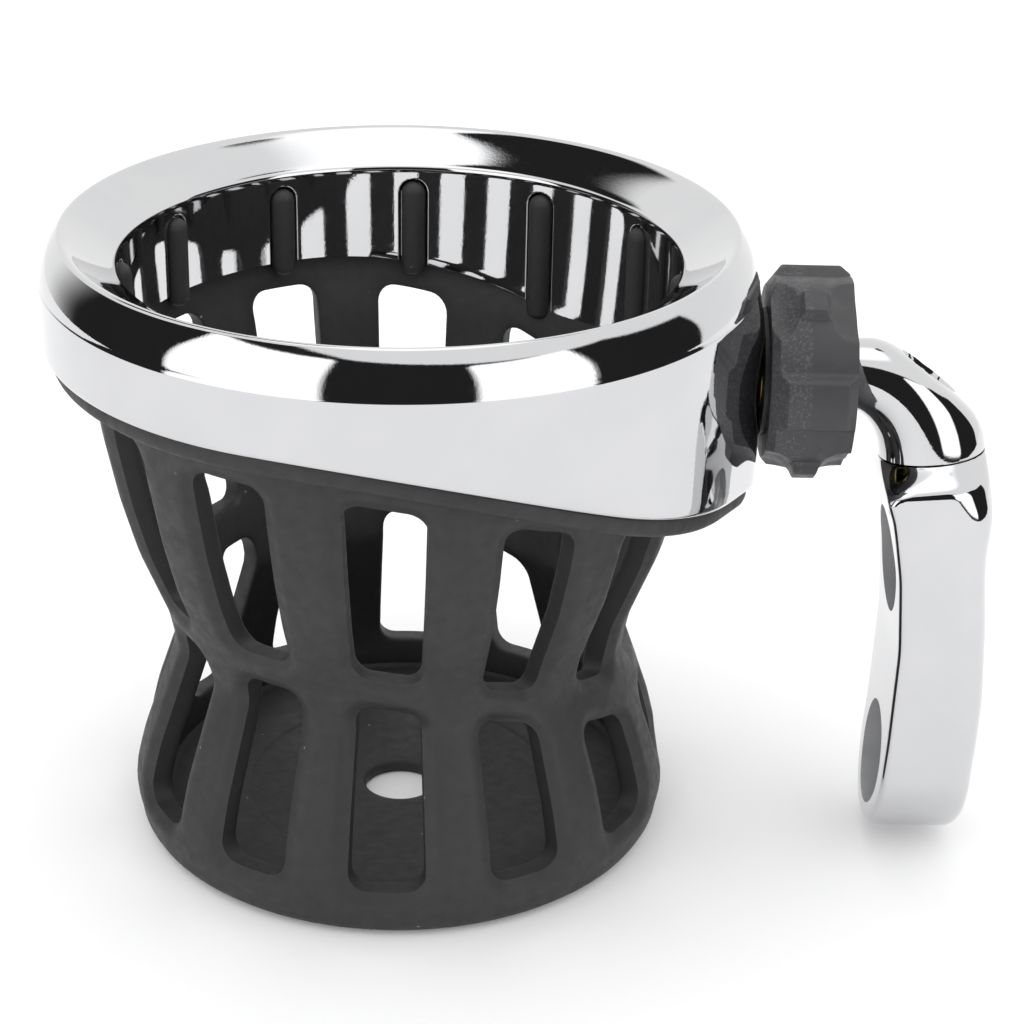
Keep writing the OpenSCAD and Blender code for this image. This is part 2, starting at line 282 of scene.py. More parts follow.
def edge_height(x):
    """Height of the ring's lower edge over a place along X."""
    x = np.asarray(x, float)
    turn = np.clip((x - EDGE_START) / EDGE_R, 0, math.sin(EDGE_SLOPE))
    arc = EDGE_Z - EDGE_R * (1 - np.sqrt(1 - turn ** 2))
    end_x = EDGE_START + EDGE_R * math.sin(EDGE_SLOPE)
    return np.where(x > end_x, arc - (x - end_x) * math.tan(EDGE_SLOPE), arc)


def outline(theta, inset=0.0):
    """Radius of the ring's outer wall in each direction: a circle with a flat boss pad towards +X."""
    t = np.abs((np.asarray(theta) + math.pi) % (2 * math.pi) - math.pi)
    ring, corner = RING_R - inset, PAD_CORNER - inset
    cx = PAD_FACE - PAD_CORNER
    far = math.hypot(cx, PAD_HALF)
    turn = math.atan2(PAD_HALF, cx) + math.acos((RING_R - PAD_CORNER) / far)
    t_flat = math.atan2(PAD_HALF, cx + corner)
    t_corner = math.atan2(PAD_HALF + corner * math.sin(turn), cx + corner * math.cos(turn))
    along = cx * np.cos(t) + PAD_HALF * np.sin(t)
    inside = np.maximum(corner ** 2 - (far ** 2 - along ** 2), 0)
    r = np.where(t < t_flat, (cx + corner) / np.cos(t), along + np.sqrt(inside))
    r = np.where(t > t_corner, ring / np.cos(np.minimum(turn - t, 1.2)), r)
    return np.where(t > turn, ring, r)


def bezier(p0, p1, p2, p3, n):
    t = np.linspace(0, 1, n)[:, None]
    p0, p1, p2, p3 = map(np.asarray, (p0, p1, p2, p3))
    return (1 - t) ** 3 * p0 + 3 * (1 - t) ** 2 * t * p1 + 3 * (1 - t) * t ** 2 * p2 + t ** 3 * p3


def build_ring():
    """The ring's section, turned round the axis: up the outer wall, over the rim, down the throat and back."""
    fine = np.arange(-4.3, 4.31, 0.2)
    coarse = np.linspace(4.3, 25.7, 18)[1:-1]
    theta = np.radians(np.concatenate([30 * k + np.concatenate([fine, coarse]) for k in range(12)]))
    R = outline(theta)
    low = edge_height(R * np.cos(theta))
    skirt_low = edge_height(THROAT_R * np.cos(theta)) - SKIRT_DROP
    rows = []

    def row(r, z):
        rows.append((np.broadcast_to(r, theta.shape), np.broadcast_to(z, theta.shape)))

    lower_edge = ((2.2, 0.9), (2.0, 0.3), (1.5, 0.02), (0.9, 0.0),
                  (0.45, 0.07), (0.15, 0.25), (0.03, 0.5), (0.0, 0.8))
    for dr, dz in lower_edge:
        row(R - dr, low + dz)
    for k in np.linspace(0.05, 1, 22):
        z = low + 0.8 + (CREASE_Z - 0.5 - low - 0.8) * k
        row(RING_R + (R - RING_R) * (1 - smooth01((z - CREASE_Z + 7) / 7)), z)
    R = np.full(theta.shape, RING_R)
    for dr, dz in ((0.0, -0.16), (0.02, -0.06), (0.07, 0.03)):
        row(R - dr, CREASE_Z + dz)
    for dr, dz in bezier((0.0, 0.14), (0.42, 2.9), (1.45, 4.6), (2.88, 6.28), 20):
        row(R - 0.1 - dr, CREASE_Z + dz)
    dome_end, slope_start = (RING_R - 2.98, CREASE_Z + 6.28), (CREST_R - 1.1, 101.12)
    over_crest = bezier(dome_end, (CREST_R + 0.06, CREST_Z - 0.02), (CREST_R - 0.3, CREST_Z), slope_start, 7)
    for r, z in over_crest[1:]:
        row(r, z)
    for r, z in bezier(slope_start, (48.9, 99.84), (46.4, 98.44), (43.95, 97.02), 12)[1:]:
        row(r, z)
    for r, z in ((43.62, 96.8), (43.4, 96.52), (THROAT_R, 96.15)):
        row(r, z)
    slot_rows = np.arange(95.5, 89.4, -0.15)
    from_slot = np.radians((np.degrees(theta) + 15) % 30 - 15) * THROAT_R

    def wall_row(z):
        above = np.maximum(np.broadcast_to(z, theta.shape) - SLOT_TOP, 0)
        d = np.hypot(from_slot, above) - SLOT_HALF
        row(THROAT_R + 1.2 * smooth01((0.28 - d) / 0.4), z)

    for z in slot_rows:
        wall_row(z)
    for k in np.linspace(0.2, 0.97, 6):
        wall_row(slot_rows[-1] + (skirt_low - slot_rows[-1]) * k)
    for dr, dz in ((0.03, 0.25), (0.2, 0.04), (0.7, 0.0), (1.3, 0.1), (SKIRT_WALL, 0.5)):
        row(THROAT_R + dr, skirt_low + dz)
    row(THROAT_R + SKIRT_WALL, 92.5)
    row(THROAT_R + SKIRT_WALL + 0.6, 95.0)
    row(CREST_R - 1.5, 98.3)
    row(CREST_R + 0.6, 98.5)
    row(R - 2.6, 95.4)
    row(R - 2.2, 92.5)
    verts = np.concatenate([np.stack([r * np.cos(theta), r * np.sin(theta), z], -1) for r, z in rows])
    faces = grid_faces(len(rows), len(theta), wrap_rows=True)
    return piece("ring_casting", verts, faces, CHROME, "cup", "chrome", ["trim_ring"], sharp=50)


# ---------------------------------------------------------------- basket
WALL_Z = np.array([0, 1.4, 6, 11, 17, 28.4, 33, 39.5, 51, 60, 70.4, 80, 93.4])
WALL_R = np.array([40.6, 43, 44.1, 43.8, 42.3, 38.3, 36.7, 38, 42.5, 44.9, 46.9, 48.2, 48.2])
WALL_T = 4.6
COLLAR_T = 3.0
TIER_SPLIT = 43.9     # drops below the ring's edge: between the tiers, and above the upper one
TIER_TOP = 5.2
UPPER_HOLE = (41.0, 8.6)
LOWER_HOLE_TOP = 46.8
LOWER_HOLE_FOOT = 8.0
BASE_TOP = 3.9        # height where the windows' tiers end and the rounded foot begins
COLLAR_TOP = 92.6
WINDOW_CORNER = 3.0


def smooth_profile(zs, rs):
    """Fine table of the profile, rounded a little at its corners."""
    z = np.linspace(zs[0], zs[-1], 600)
    r = np.interp(z, zs, rs)
    width = 2.2 / (z[1] - z[0])
    kernel = np.hanning(int(2 * width) | 1)
    kernel /= kernel.sum()
    pad = len(kernel) // 2
    padded = np.concatenate([2 * r[0] - r[pad:0:-1], r, 2 * r[-1] - r[-2:-pad - 2:-1]])
    return z, np.convolve(padded, kernel, "valid")


PROFILE_Z, PROFILE_R = smooth_profile(WALL_Z[1:], WALL_R[1:])


def wall_out(z):
    return np.interp(z, PROFILE_Z, PROFILE_R)


def wall_in(z):
    return wall_out(z) - (WALL_T + (COLLAR_T - WALL_T) * smooth01((np.asarray(z) - 70) / 10))


def line_height(theta, drop):
    """Height on the basket's wall of a line that runs parallel to the ring's lower edge."""
    z = edge_height(44 * np.cos(theta)) - drop
    for _ in range(6):
        z = edge_height(wall_out(z) * np.cos(theta)) - drop
    return z


def rounded_rect(w, h, rho, n_w, n_h, n_c):
    """Loop round a rounded rectangle: n_w and n_h segments along its sides, corners among them."""
    def quarter(cx, cy, a0):
        return [(cx + rho * math.cos(a), cy + rho * math.sin(a))
                for a in np.radians(np.linspace(a0, a0 + 90, 2 * n_c + 1))]

    def straight(p, q, n):
        return [tuple(np.array(p) + (np.array(q) - np.array(p)) * k / n) for k in range(1, n)]

    c = [quarter(w - rho, h - rho, 0), quarter(rho - w, h - rho, 90),
         quarter(rho - w, rho - h, 180), quarter(w - rho, rho - h, 270)]
    loop = []
    for k in range(4):
        loop += c[k] + straight(c[k][-1], c[(k + 1) % 4][0], (n_w if k % 2 == 0 else n_h) - 2 * n_c)
    return np.array(loop)


def cell_border(n_w, n_h, n_c):
    """The same number of points round a square from -1 to 1, starting where rounded_rect starts."""
    top = [(x, 1.0) for x in np.linspace(1, -1, n_w + 1)]
    left = [(-1.0, y) for y in np.linspace(1, -1, n_h + 1)]
    bottom = [(x, -1.0) for x in np.linspace(-1, 1, n_w + 1)]
    right = [(1.0, y) for y in np.linspace(-1, 1, n_h + 1)]
    loop = top[:-1] + left[:-1] + bottom[:-1] + right[:-1]
    return np.roll(np.array(loop), n_c, axis=0)


N_W, N_H, N_C = 18, 22, 3
BEVEL = ((0.0, 1.25), (0.35, 1.05), (0.8, 0.72), (1.3, 0.38), (1.8, 0.13), (2.3, 0.0))


def window_cell(center, half, tier_low, tier_high, hole_low, hole_high, rho):
    """One window with its share of the wall, as loops from the outer border through the hole to the inner."""
    mid_low, mid_high = float(hole_low(center)), float(hole_high(center))
    H = (mid_high - mid_low) / 2
    W = math.radians(half) * float(wall_out((mid_low + mid_high) / 2))
    border = cell_border(N_W, N_H, N_C)
    bt = center + np.radians(15) * border[:, 0]
    bl, bh = tier_low(bt), tier_high(bt)
    bz = (bl + bh) / 2 + border[:, 1] * (bh - bl) / 2

    def hole(d):
        p = rounded_rect(W + d, H + d, rho + d, N_W, N_H, N_C)
        t = center + p[:, 0] / W * math.radians(half)
        lo, hi = hole_low(t), hole_high(t)
        return t, (lo + hi) / 2 + p[:, 1] / H * (hi - lo) / 2

    loops = []
    t1, z1 = hole(BEVEL[-1][0])
    for k in (0, 0.35, 0.7):
        t, z = bt + (t1 - bt) * k, bz + (z1 - bz) * k
        loops.append((wall_out(z), t, z))
    for d, deep in reversed(BEVEL):
        t, z = hole(d)
        loops.append((wall_out(z) - deep, t, z))
    t, z = hole(0)
    for k in (0.35, 0.7, 1.0):
        loops.append(((wall_out(z) - BEVEL[0][1]) * (1 - k) + (wall_in(z) + 0.5) * k, t, z))
    for d, deep in ((0.15, 0.2), (0.5, 0.0)):
        t, z = hole(d)
        loops.append((wall_in(z) + deep, t, z))
    for k in (0.5, 1.0):
        t_in, z_in = t + (bt - t) * k, z + (bz - z) * k
        loops.append((wall_in(z_in), t_in, z_in))
    return [np.stack([r * np.cos(t), r * np.sin(t), z], -1) for r, t, z in loops]


def build_basket():
    """The wall with its windows, the collar above it, and the foot with the floor: their borders coincide."""
    verts, faces, start = [], [], 0

    def level(z):
        return lambda t: np.full(np.shape(t), z)

    def below_edge(drop):
        return lambda t: line_height(t, drop)

    upper = (7.9, below_edge(TIER_SPLIT), below_edge(TIER_TOP), *map(below_edge, UPPER_HOLE))
    lower = (8.1, level(BASE_TOP), below_edge(TIER_SPLIT), level(LOWER_HOLE_FOOT), below_edge(LOWER_HOLE_TOP))
    for tier in (upper, lower):
        for k in range(12):
            loops = window_cell(math.radians(30 * k), *tier, WINDOW_CORNER)
            verts += loops
            faces += grid_faces(len(loops), len(loops[0]), start=start, flip=True)
            start += len(loops) * len(loops[0])
    theta = np.radians(np.concatenate([30 * k + np.linspace(-15, 15, N_W + 1)[:-1] for k in range(12)]))

    def band(rows):
        nonlocal verts, faces, start
        rows = [(np.broadcast_to(r, theta.shape), np.broadcast_to(z, theta.shape)) for r, z in rows]
        pts = [np.stack([r * np.cos(theta), r * np.sin(theta), z], -1) for r, z in rows]
        verts += pts
        faces += grid_faces(len(pts), len(theta), start=start)
        start += len(pts) * len(theta)

    t_top = line_height(theta, TIER_TOP)
    heights = [t_top + (COLLAR_TOP - t_top) * k for k in (0, 0.25, 0.5, 0.75)]
    collar = [(wall_out(z), z) for z in heights]
    collar += [(48.2, COLLAR_TOP), (47.9, 93.25), (47.2, 93.4)]
    collar += [(46.2, 93.4), (45.5, 93.25), (45.25, COLLAR_TOP)]
    collar += [(wall_in(z), z) for z in reversed(heights)]
    band(collar)
    floor_top = [(39.2, 3.3), (38.7, 2.85), (38.0, 2.62), (34.0, 2.6), (25.7, 2.6), (25.25, 2.52), (25.1, 2.32)]
    floor_top += [(24.8, 2.28), (16.0, 2.28), (8.0, 2.28)]
    drain = [(6.5, 2.25), (6.05, 2.1), (5.9, 1.8), (5.9, 0.5), (6.1, 0.12), (6.5, 0.0)]
    underside = [(12.0, 0.0), (25.0, 0.0), (36.0, 0.0)]
    foot = [(39.6, 0.0), (40.9, 0.18), (42.0, 0.6), (42.8, 1.3), (43.35, 2.3)]
    band([(wall_in(BASE_TOP), BASE_TOP), *floor_top, *drain, *underside, *foot, (wall_out(BASE_TOP), BASE_TOP)])
    return np.concatenate(verts), faces


def weld(pts, faces, tol=0.004):
    """Join points that fall on the same step of a grid, and drop the faces that this leaves with no area."""
    keys, index = {}, np.empty(len(pts), int)
    out = []
    for i, p in enumerate(np.round(pts / tol).astype(int)):
        k = tuple(p)
        if k not in keys:
            keys[k] = len(out)
            out.append(pts[i])
        index[i] = keys[k]
    new = []
    for f in faces:
        g = []
        for i in f:
            j = index[i]
            if not g or g[-1] != j:
                g.append(j)
        if len(g) > 1 and g[0] == g[-1]:
            g.pop()
        if len(g) > 2:
            new.append(g)
    return np.array(out), new


def recalc(ob):
    """Join what still lies on one place, and turn every face outwards."""
    bm = bmesh.new()
    bm.from_mesh(ob.data)
    bmesh.ops.remove_doubles(bm, verts=bm.verts, dist=0.00001)
    bmesh.ops.recalc_face_normals(bm, faces=bm.faces)
    bm.to_mesh(ob.data)
    bm.free()


def build_flange():
    """The basket's lip under the ring."""
    inset = 1.2
    theta = np.radians(np.arange(0, 360, 0.75))
    R = outline(theta, inset)
    low = edge_height((R + inset) * np.cos(theta))
    inner = np.full(theta.shape, 46.4)
    edge = ((0.35, -0.15), (0.1, -0.25), (0.0, -0.5), (0.02, -1.3), (0.1, -2.2), (0.35, -2.8),
            (0.85, -3.2), (1.6, -3.42), (3.2, -3.5))
    section = [(inner, -0.15), *((R - r, dz) for r, dz in edge), (inner, -3.5)]
    rows = [np.stack([r * np.cos(theta), r * np.sin(theta), low + dz], -1) for r, dz in section]
    return np.concatenate(rows), grid_faces(len(rows), len(theta), wrap_rows=True)


def build_rib(angle):
    """Half-round grip rib: a tall capsule, flattened a little."""
    rib_r, center_r, foot_r, flat = 2.0, 43.45, 1.3, 0.92
    low = float(edge_height(THROAT_R * math.cos(angle))) - SKIRT_DROP - 1.9
    n = 28
    rows = [(0.02, low)]
    for a in np.radians(np.linspace(-90, 0, 9)[1:]):
        rows.append((rib_r * math.cos(a) ** 0.8, low + foot_r + foot_r * math.sin(a)))
    for k in (0.25, 0.5, 0.75):
        rows.append((rib_r, low + foot_r + (SLOT_TOP - low - foot_r) * k))
    for a in np.radians(np.linspace(0, 90, 10)):
        rows.append((max(rib_r * math.cos(a), 0.02), SLOT_TOP + 1.95 * math.sin(a)))
    pts = []
    for r, z in rows:
        for k in range(n):
            t = 2 * math.pi * k / n
            out, side = center_r + r * math.cos(t) * flat, r * math.sin(t)
            x = out * math.cos(angle) - side * math.sin(angle)
            y = out * math.sin(angle) + side * math.cos(angle)
            pts.append((x, y, z))
    faces = grid_faces(len(rows), n)
    faces.append(list(range(n - 1, -1, -1)))
    faces.append(list(range((len(rows) - 1) * n, len(rows) * n)))
    return np.array(pts), faces


ring = build_ring()
recalc(ring)

pts, faces = weld(*build_basket())
parts, all_faces, start = [pts], list(faces), len(pts)
for extra in [build_flange()] + [build_rib(math.radians(30 * k)) for k in range(12)]:
    parts.append(extra[0])
    all_faces += [[i + start for i in f] for f in extra[1]]
    start += len(extra[0])
basket = piece("basket_moulding", np.concatenate(parts), all_faces, RUBBER, "cup", "rubber", ["basket"])
recalc(basket)
basket.data.set_sharp_from_angle(angle=math.radians(48))

# ---------------------------------------------------------------- lock knob
AXIS_Z = 78.4
KNOB_X0 = float(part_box("lock_knob")[0][0]) * 1000
KNOB_X1 = float(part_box("lock_knob")[1][0]) * 1000
KNOB_R = 16.7
KNOB_BORE_R = 6.25
LOBE_DEPTH = 1.6
WIDE_LOBE, NARROW_LOBE = 3, 63    # degrees: the first lobe of each kind, the others follow at 120


def build_knob():
    """Rows of the lobed outline along the axis, between a face at each end and a bore through the middle."""
    n = 480
    phi = np.linspace(0, 2 * math.pi, n, endpoint=False)
    width = KNOB_X1 - KNOB_X0
    mid = (KNOB_X0 + KNOB_X1) / 2 - 0.1

    def from_lobe(first):
        return np.abs((np.degrees(phi) - first + 60) % 120 - 60)

    def lobes(first, top, flank):
        return smooth01((top + flank - from_lobe(first)) / flank)

    body = KNOB_R - LOBE_DEPTH + LOBE_DEPTH * np.maximum(lobes(WIDE_LOBE, 11.5, 7), lobes(NARROW_LOBE, 6.5, 4))
    ridge_half, flare = 1.75, 4.7    # a narrow lobe is a ridge in the middle, with a scoop at both sides
    beside = 0.0052 * np.maximum(from_lobe(NARROW_LOBE) - 6, 0) ** 2
    rows = []
    for x in [0.0, 0.25, 0.55, *np.linspace(0.9, width - 0.9, 50), width - 0.55, width - 0.25, width]:
        off = abs(KNOB_X0 + x - mid) - ridge_half
        arc = math.sqrt(max(flare ** 2 - min(max(flare - off, -flare), flare) ** 2, 0))
        scoop = KNOB_R + 0.25 - arc * 0.74 + beside
        r = body if off <= 0 else np.minimum(body, scoop)
        edge_round = min(KNOB_R - 3.0 + 1.25 * x, KNOB_R - 1.3 + 0.9 * (width - x))
        rows.append((np.minimum(r, edge_round), KNOB_X0 + x))
    left, right = rows[0][0], rows[-1][0]
    left_face = [(KNOB_BORE_R, KNOB_X0), (9.0, KNOB_X0), (left * 0.97, KNOB_X0)]
    right_face = [(right * 0.985, KNOB_X1), (right * 0.86, KNOB_X1), (9.5, KNOB_X1), (8.6, KNOB_X1 - 0.35),
                  (6.9, KNOB_X1 - 0.35), (6.5, KNOB_X1 - 0.6),
                  (KNOB_BORE_R, KNOB_X1 - 1.0), (KNOB_BORE_R, KNOB_X1 - 3.0)]
    rows = left_face + rows + right_face
    verts = [np.stack([np.full(n, x), -r * np.cos(phi), AXIS_Z + r * np.sin(phi)], -1) for r, x in rows]
    return np.concatenate(verts), grid_faces(len(rows), n, wrap_rows=True)


knob = piece("knob_moulding", *build_knob(), KNOB, "knob", "knob_plastic", ["lock_knob"])
recalc(knob)
knob.data.set_sharp_from_angle(angle=math.radians(30))

# ---------------------------------------------------------------- arm, drawn upright, then swung
SWING = math.radians(6)
BEND_X, BEND_Z, BEND_A, BEND_STOP = 70.9, 64.1, 13.5, math.radians(82)
BEND_B = AXIS_Z - BEND_Z
NECK_R, SEAM_R = 5.4, 8.4
SEAM_EDGE = 0.12      # small bevel on both sides of the seam
SEAM_GAP = 0.2
FACET_X, FACET_Z, FACET_LEAN = 82.6, 79.3, 37.0
SEAM_X = BEND_X + BEND_A * math.sin(BEND_STOP)
SEAM_Z = BEND_Z + BEND_B * math.cos(BEND_STOP)
SEAM_TILT = math.atan2(BEND_A * math.cos(BEND_STOP), BEND_B * math.sin(BEND_STOP))


def swing(p, angle=SWING):
    """Turn points about the swivel axis; the arm hangs at this angle in the photo."""
    p = np.asarray(p, float)
    y, z = p[:, 1], p[:, 2] - AXIS_Z
    c, s = math.cos(angle), math.sin(angle)
    return np.stack([p[:, 0], y * c + z * s, AXIS_Z + z * c - y * s], -1)


def build_elbow():
    """A tube that widens from the knob to the seam, with a spigot at its end and a facet on its outside."""
    n = 112
    t = np.linspace(0, 2 * math.pi, n, endpoint=False)
    rings = []

    def ring(x, z, lean, r, shift=0.0):
        rings.append(np.stack([x + r * np.cos(t) * math.sin(lean) + shift * math.cos(lean), r * np.sin(t),
                               z + r * np.cos(t) * math.cos(lean) - shift * math.sin(lean)], -1))

    start_x = KNOB_X1 - 1.6
    ring(start_x, AXIS_Z, 0, 0.02)
    ring(start_x, AXIS_Z, 0, NECK_R - 0.4)
    ring(start_x + 0.1, AXIS_Z, 0, NECK_R)
    for a in np.linspace(0, BEND_STOP, 130):
        lean = math.atan2(BEND_B * math.sin(a), BEND_A * math.cos(a))
        r = NECK_R + (SEAM_R - NECK_R) * math.sin(a) / math.sin(BEND_STOP)
        if a > BEND_STOP - 1e-6:
            r = r - SEAM_EDGE
        ring(BEND_X + BEND_A * math.sin(a), BEND_Z + BEND_B * math.cos(a), lean, r)
    lean = math.pi / 2 - SEAM_TILT
    for r, shift in ((SEAM_R - 0.5, 0.04), (5.6, 0.04), (5.4, 0.2), (5.4, 8.4), (0.02, 8.8)):
        ring(SEAM_X, SEAM_Z, lean, r, shift)
    p = np.concatenate(rings)
    lean = math.radians(FACET_LEAN)
    out = (p[:, 0] - FACET_X) * math.sin(lean) + (p[:, 2] - FACET_Z) * math.cos(lean)
    along = (p[:, 0] - FACET_X) * math.cos(lean) - (p[:, 2] - FACET_Z) * math.sin(lean)
    soft = 2.3
    over = np.where(out > soft, out, np.where(out < -soft, 0, (out + soft) ** 2 / (4 * soft)))
    oval = np.hypot((along - 0.4) / 5.3, p[:, 1] / 2.7) - 1
    over = over + 0.55 * smooth01((0.06 - oval) / 0.12) * smooth01((out + 1.2) / 0.8)
    p[:, 0] -= over * math.sin(lean)
    p[:, 2] -= over * math.cos(lean)
    faces = grid_faces(len(rings), n)
    faces.append(list(range(n - 1, -1, -1)))
    faces.append(list(range((len(rings) - 1) * n, len(rings) * n)))
    return swing(p), faces


elbow = piece("elbow_casting", *build_elbow(), CHROME, "elbow", "chrome", ["elbow"])
recalc(elbow)
elbow.data.set_sharp_from_angle(angle=math.radians(32))

BAR_W = 25.5
HOLE_LOW = BAR_W / 2 + 0.9
HOLE_HIGH = HOLE_LOW + 34
BOLT_R = 4.2
POCKET_R, POCKET_X = 8.6, 88
INNER_CORNER, OUTER_CORNER = 1.1, 4.6
BAR_BACK_Z = [-2, 3, 10, 20, 36, 48, 56, 61, 67]
BAR_BACK_X = [76.6, 77.1, 78.0, 78.8, 79.5, 78.8, 77.5, 76.4, 75.7]
BAR_FRONT_Z = [-2, 1, 5, 11, 20, 27, 40, 48, 52, 56, 61, 67.5]
BAR_FRONT_X = [91.3, 92.0, 92.5, 93.1, 93.8, 94.1, 93.6, 92.9, 92.8, 93.2, 93.3, 92.6]


def smooth_table(zs, xs):
    """The bar's outline in side view: a place along X for each height, with its corners rounded."""
    z = np.linspace(zs[0], zs[-1], 400)
    x = np.interp(z, zs, xs)
    k = np.hanning(41)
    k /= k.sum()
    x = np.convolve(np.concatenate([np.full(20, x[0]), x, np.full(20, x[-1])]), k, "valid")
    return lambda q: np.interp(q, z, x)


bar_back = smooth_table(BAR_BACK_Z, BAR_BACK_X)
bar_front = smooth_table(BAR_FRONT_Z, BAR_FRONT_X)


def half_section(half, r1, r2, x0, x1):
    """Half of the bar's section, from the middle of its inner face, round one side, to that of its outer face."""
    n_face, n_corner, n_side = 22, 9, 14
    deep = x1 - x0
    turns = np.linspace(0, math.pi / 2, n_corner)[1:]
    pts = [(0.0, y) for y in np.linspace(0, half - r1, n_face)]
    pts += [(r1 - r1 * math.cos(a), half - r1 + r1 * math.sin(a)) for a in turns]
    pts += [(x, half) for x in np.linspace(r1, deep - r2, n_side)[1:]]
    pts += [(deep - r2 + r2 * math.sin(a), half - r2 + r2 * math.cos(a)) for a in turns]
    pts += [(deep, y) for y in np.linspace(half - r2, 0, n_face)[1:]]
    return np.array(pts)


def build_bar():
    """Sections from the round seam down to the lower hole, the socket in the seam's face, and the round end."""
    top = SEAM_Z - SEAM_GAP
    full = []
    for k in np.linspace(0, 1, 90) ** 1.9:
        z_mid = top - (top - HOLE_LOW) * k
        blend = smooth01((SEAM_Z - z_mid) / 9)
        flare = math.sin(math.pi / 2 * min(1, (top - z_mid) / 3.9)) ** 1.15
        half = SEAM_R + (BAR_W / 2 - SEAM_R) * flare
        x0, x1 = float(bar_back(z_mid)), float(bar_front(z_mid))
        x0 = x0 + (SEAM_X - SEAM_R - x0) * (1 - blend)
        x1 = x1 + (SEAM_X + SEAM_R - x1) * (1 - blend)
        full_round = (x1 - x0) / 2 - 0.01
        r1 = min(SEAM_R + (INNER_CORNER - SEAM_R) * smooth01((SEAM_Z - z_mid) / 5.5), full_round)
        r2 = min(SEAM_R + (OUTER_CORNER - SEAM_R) * blend, full_round)
        trim = SEAM_EDGE if k == 0 else 0.0
        s = half_section(half - trim, r1, r2, x0 + trim, x1 - trim)
        x = x0 + trim + s[:, 0]
        z = z_mid + (x - SEAM_X) * math.tan(SEAM_TILT * (1 - blend))
        one_side, other_side = np.stack([x, -s[:, 1], z], -1), np.stack([x, s[:, 1], z], -1)
        full.append(np.concatenate([one_side, other_side[-2:0:-1]]))
    cols = len(full[0])
    faces = grid_faces(len(full), cols)
    start = len(full) * cols
    # seam end: rings inwards, then down into the socket
    socket = []
    c = np.array([SEAM_X, 0, top])
    axis = np.array([math.sin(SEAM_TILT), 0, -math.cos(SEAM_TILT)])
    for k, down in ((0.94, 0.0), (0.67, 0.0), (0.66, 0.3), (0.66, 4.0), (0.01, 4.0)):
        socket.append(c + (full[0] - c) * k + axis * down)
    faces += [tuple(reversed(f)) for f in grid_faces(len(socket), cols, start=start)]
    for j in range(cols):
        faces.append((j, start + j, start + (j + 1) % cols, (j + 1) % cols))
    faces.append([start + (len(socket) - 1) * cols + j for j in range(cols)])
    start += len(socket) * cols
    # round lower end: the half section turned about the lower hole's axis
    end = []
    x0, x1 = float(bar_back(HOLE_LOW)), float(bar_front(HOLE_LOW))
    for b in np.linspace(0, math.pi, 49):
        r1, r2 = INNER_CORNER + 0.9 * math.sin(b), OUTER_CORNER - 2.4 * math.sin(b)
        s = half_section(BAR_W / 2, r1, r2, x0, x1)
        z = HOLE_LOW - s[:, 1] * math.sin(b) * 0.94
        share = s[:, 0] / (x1 - x0)
        x = bar_back(z) * (1 - share) + bar_front(z) * share
        end.append(np.stack([x, -s[:, 1] * math.cos(b), z], -1))
    faces += grid_faces(len(end), len(end[0]), wrap_cols=False, start=start)
    return weld(swing(np.concatenate(full + socket + end)), faces, 0.002)


bar = piece("bar_casting", *build_bar(), CHROME, "bar", "chrome", ["mounting_bar"])
recalc(bar)


def cylinder_tool(x0, x1, r, z):
    """A cylinder along X through the upright bar, with a small bevel at its far end."""
    n, bevel = 96, 0.4
    t = np.linspace(0, 2 * math.pi, n, endpoint=False)
    rows = [np.stack([np.full(n, x), rr * np.cos(t), z + rr * np.sin(t)], -1)
            for x, rr in ((x0, r), (x1 - bevel, r), (x1, r - bevel))]
    faces = grid_faces(3, n)
    faces.append(list(range(n - 1, -1, -1)))
    faces.append(list(range(2 * n, 3 * n)))
    return swing(np.concatenate(rows)), faces


def cut(ob, tools):
    for verts, faces in tools:
        tool = mesh_object("tool", (verts * MM).tolist(), faces)
        recalc(tool)
        mod = ob.modifiers.new("cut", "BOOLEAN")
        mod.operation = "DIFFERENCE"
        mod.solver = "EXACT"
        mod.object = tool
        bpy.context.view_layer.update()
        done = bpy.data.meshes.new_from_object(ob.evaluated_get(bpy.context.evaluated_depsgraph_get()))
        ob.modifiers.clear()
        ob.data = done
        used = tool.data
        bpy.data.objects.remove(tool)
        bpy.data.meshes.remove(used)


def mark_bores(ob):
    """Face attribute for the chrome: 1 on the walls and floors of the bolt holes, 0 elsewhere."""
    polygons = ob.data.polygons
    centers = np.empty(len(polygons) * 3)
    polygons.foreach_get("center", centers)
    centers = swing(centers.reshape(-1, 3) / MM, -SWING)
    in_bore = np.zeros(len(centers), bool)
    for z in (HOLE_LOW, HOLE_HIGH):
        off = np.hypot(centers[:, 1], centers[:, 2] - z)
        in_bore |= (off < POCKET_R + 0.1) & (centers[:, 0] > 80.4) & (centers[:, 0] < POCKET_X + 2)
    bore = ob.data.attributes.new("bore", "FLOAT", "FACE")
    bore.data.foreach_set("value", in_bore.astype(np.float32))


tools = []
for z in (HOLE_LOW, HOLE_HIGH):
    tools.append(cylinder_tool(70, POCKET_X, POCKET_R, z))
    tools.append(cylinder_tool(80, 100, BOLT_R, z))
cut(bar, tools)
bar.data.polygons.foreach_set("use_smooth", [True] * len(bar.data.polygons))
mark_bores(bar)
bar.data.set_sharp_from_angle(angle=math.radians(32))


# ---------------------------------------------------------------- floor, studio dome and world, in metres
def build_floor():
    floor = mesh_object("floor", [(-6, -6, 0), (6, -6, 0), (6, 6, 0), (-6, 6, 0)], [(0, 1, 2, 3)])
    mat, _, _ = new_material("floor", Base_Color=(0.94, 0.94, 0.945, 1), Roughness=0.9,
                             Emission_Color=(1, 1, 1, 1), Emission_Strength=0.07)
    floor.data.materials.append(mat)


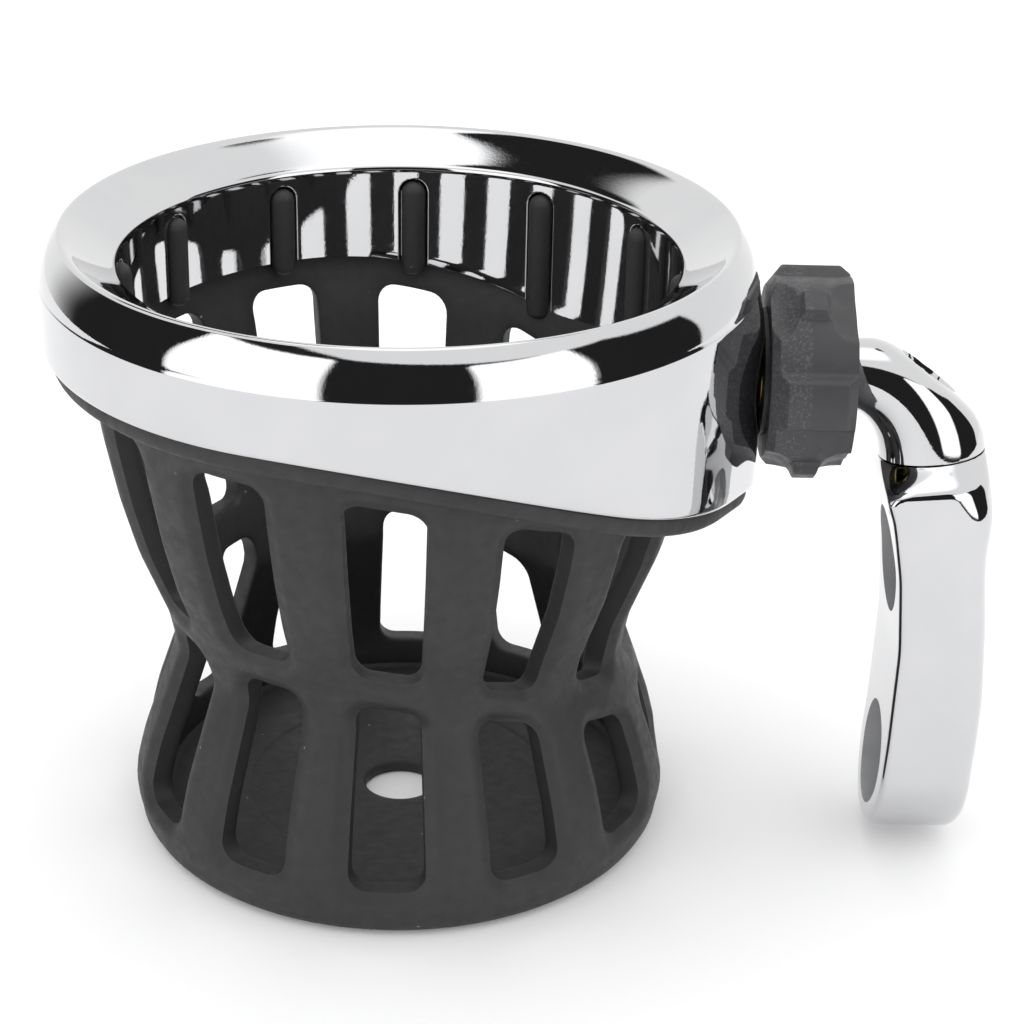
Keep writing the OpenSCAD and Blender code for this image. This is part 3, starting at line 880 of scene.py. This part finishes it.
def box_mask(az, el, a0, a1, e0, e1, soft=1.6):
    """1 inside a rounded patch of the dome, 0 outside, with a soft border; angles in degrees."""
    ca, ce = (a0 + a1) / 2, (e0 + e1) / 2
    da = np.abs((az - ca + 180) % 360 - 180) - (a1 - a0) / 2
    de = np.abs(el - ce) - (e1 - e0) / 2
    round_off = 3.0
    d = np.hypot(np.maximum(da + round_off, 0), np.maximum(de + round_off, 0)) - round_off
    return smooth01(0.5 - d / soft)


BAND_AZ = [134, 150, 180, 195, 210, 230, 245, 255, 280, 300, 330, 345, 355, 375]
BAND_TOP = [12, 20, 36, 46, 51, 53, 50, 47, 44, 41, 38, 37, 32, 24]
PALE, BRIGHTER_TOP, DARK, WINDOW = 1.12, 0.6, 0.022, 1.75


def dome_light(az, el):
    """Brightness in each direction: pale all round, a dark band in front with two windows, two dark patches."""
    light = PALE + BRIGHTER_TOP * smooth01((el - 62) / 8)
    az_band = np.where(az < 90, az + 360, az)
    fade = smooth01((az_band - 134) / 28) * smooth01((374 - az_band) / 1.5)
    dark = fade * smooth01((np.interp(az_band, BAND_AZ, BAND_TOP) - el) / 1.6)
    dark = np.maximum(dark, box_mask(az, el, 120, 150, 38, 77, 5.0))
    dark = np.maximum(dark, 0.9 * box_mask(az, el, 38, 55, 58, 68, 3.0))
    light = light * (1 - dark) + DARK * dark
    for window in (box_mask(az, el, 201, 250, -5, 45), box_mask(az, el, 295, 331, -6, 38)):
        light = light * (1 - window) + WINDOW * window
    return light


def build_dome():
    """The studio around the object: only the glossy reflections see it."""
    radius, center_z = 0.65, 0.096
    azimuth = np.arange(0, 360, 1.25)
    elevation = np.concatenate([[-8.3], np.arange(-7.5, 89, 1.0)])
    el, az = np.meshgrid(elevation, azimuth, indexing="ij")
    a, e = np.radians(az), np.radians(el)
    x, y, z = radius * np.cos(e) * np.cos(a), radius * np.cos(e) * np.sin(a), center_z + radius * np.sin(e)
    faces = grid_faces(len(elevation), len(azimuth))
    faces.append([(len(elevation) - 1) * len(azimuth) + j for j in range(len(azimuth))])
    ob = mesh_object("studio_dome", np.stack([x, y, z], -1).reshape(-1, 3).tolist(), faces)
    glow = ob.data.attributes.new("glow", "FLOAT", "POINT")
    glow.data.foreach_set("value", dome_light(az, el).ravel().astype(np.float32))
    mat, tree, _ = new_material("studio_dome")
    tree.nodes.clear()
    source = node(tree, "ShaderNodeAttribute", attribute_name="glow")
    emit = node(tree, "ShaderNodeEmission")
    tree.links.new(source.outputs["Fac"], emit.inputs["Strength"])
    tree.links.new(emit.outputs[0], node(tree, "ShaderNodeOutputMaterial").inputs[0])
    ob.data.materials.append(mat)
    ob.visible_camera = False
    ob.visible_diffuse = False
    ob.visible_shadow = False


build_floor()
build_dome()

world = bpy.data.worlds.new("world")
bpy.context.scene.world = world
world.use_nodes = True
world.node_tree.nodes["Background"].inputs["Color"].default_value = (1, 1, 1, 1)
world.node_tree.nodes["Background"].inputs["Strength"].default_value = 1.24
bpy.context.scene.view_settings.view_transform = "Standard"
